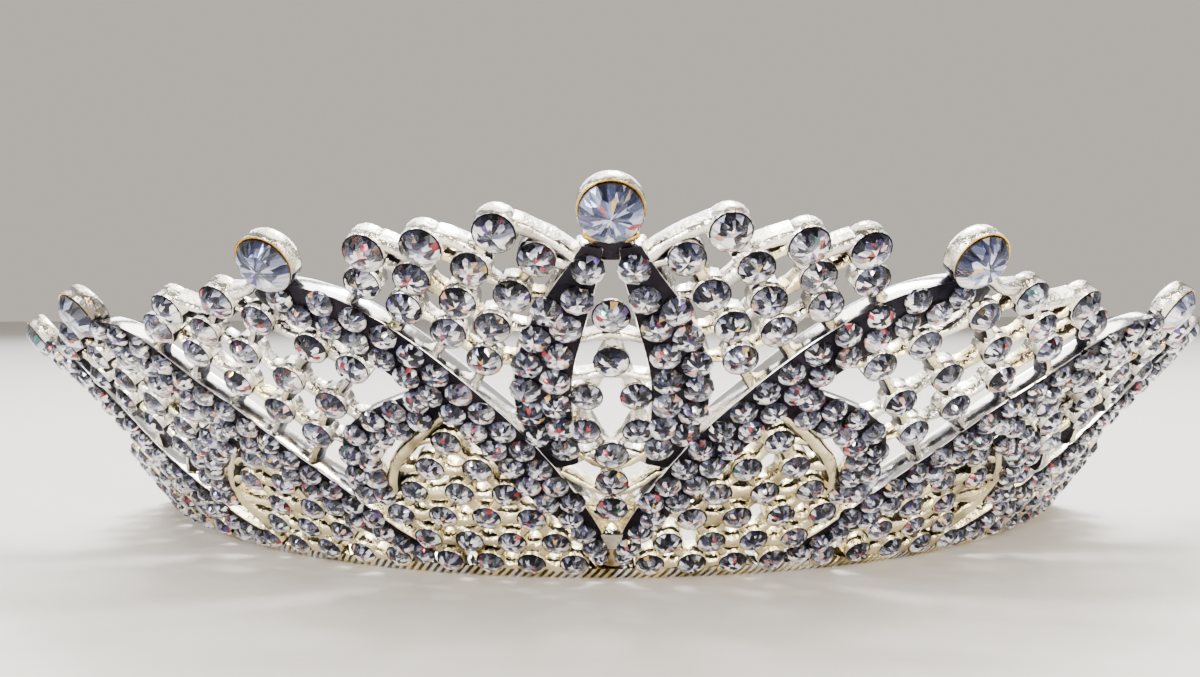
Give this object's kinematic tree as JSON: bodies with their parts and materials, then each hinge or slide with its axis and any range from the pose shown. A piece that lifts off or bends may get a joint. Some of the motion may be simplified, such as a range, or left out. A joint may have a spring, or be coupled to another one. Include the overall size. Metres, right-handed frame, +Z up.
{
  "type": "rhinestone tiara",
  "caption": "Flared tiara: a pierced cast silver frame in pairs of rising arms, set with round cut crystals, open at the back.",
  "frame": {"origin": "middle of the bounding box in plan, at the height of the table the base edge rests on", "axes": "+Z up; -Y towards the viewer, out of the front of the tiara; +Y to the open back; +X to the viewer's right"},
  "size_m": [0.1732, 0.0814, 0.0441],
  "materials": {
    "silver": "polished silver plate on a white-metal casting",
    "crystal": "cut and foiled lead crystal"
  },
  "bodies": {
    "root": {"frame": "silver", "centre_stone": "crystal", "tip_stone_1_right": "crystal", "tip_stone_1_left": "crystal", "tip_stone_2_right": "crystal", "tip_stone_2_left": "crystal", "tip_stone_3_right": "crystal", "tip_stone_3_left": "crystal", "crest_stone_1_right": "crystal", "crest_stone_1_left": "crystal", "crest_stone_2_right": "crystal", "crest_stone_2_left": "crystal", "crest_stone_3_right": "crystal", "crest_stone_3_left": "crystal", "crest_stone_4_right": "crystal", "crest_stone_4_left": "crystal", "crest_stone_5_right": "crystal", "crest_stone_5_left": "crystal", "crest_stone_6_right": "crystal", "crest_stone_6_left": "crystal", "crest_stone_7_right": "crystal", "crest_stone_7_left": "crystal", "crest_stone_8_right": "crystal", "crest_stone_8_left": "crystal", "column_stones": "crystal", "net_stones_right": "crystal", "net_stones_left": "crystal", "low_stones_right": "crystal", "low_stones_left": "crystal"}
  },
  "joints": []
}
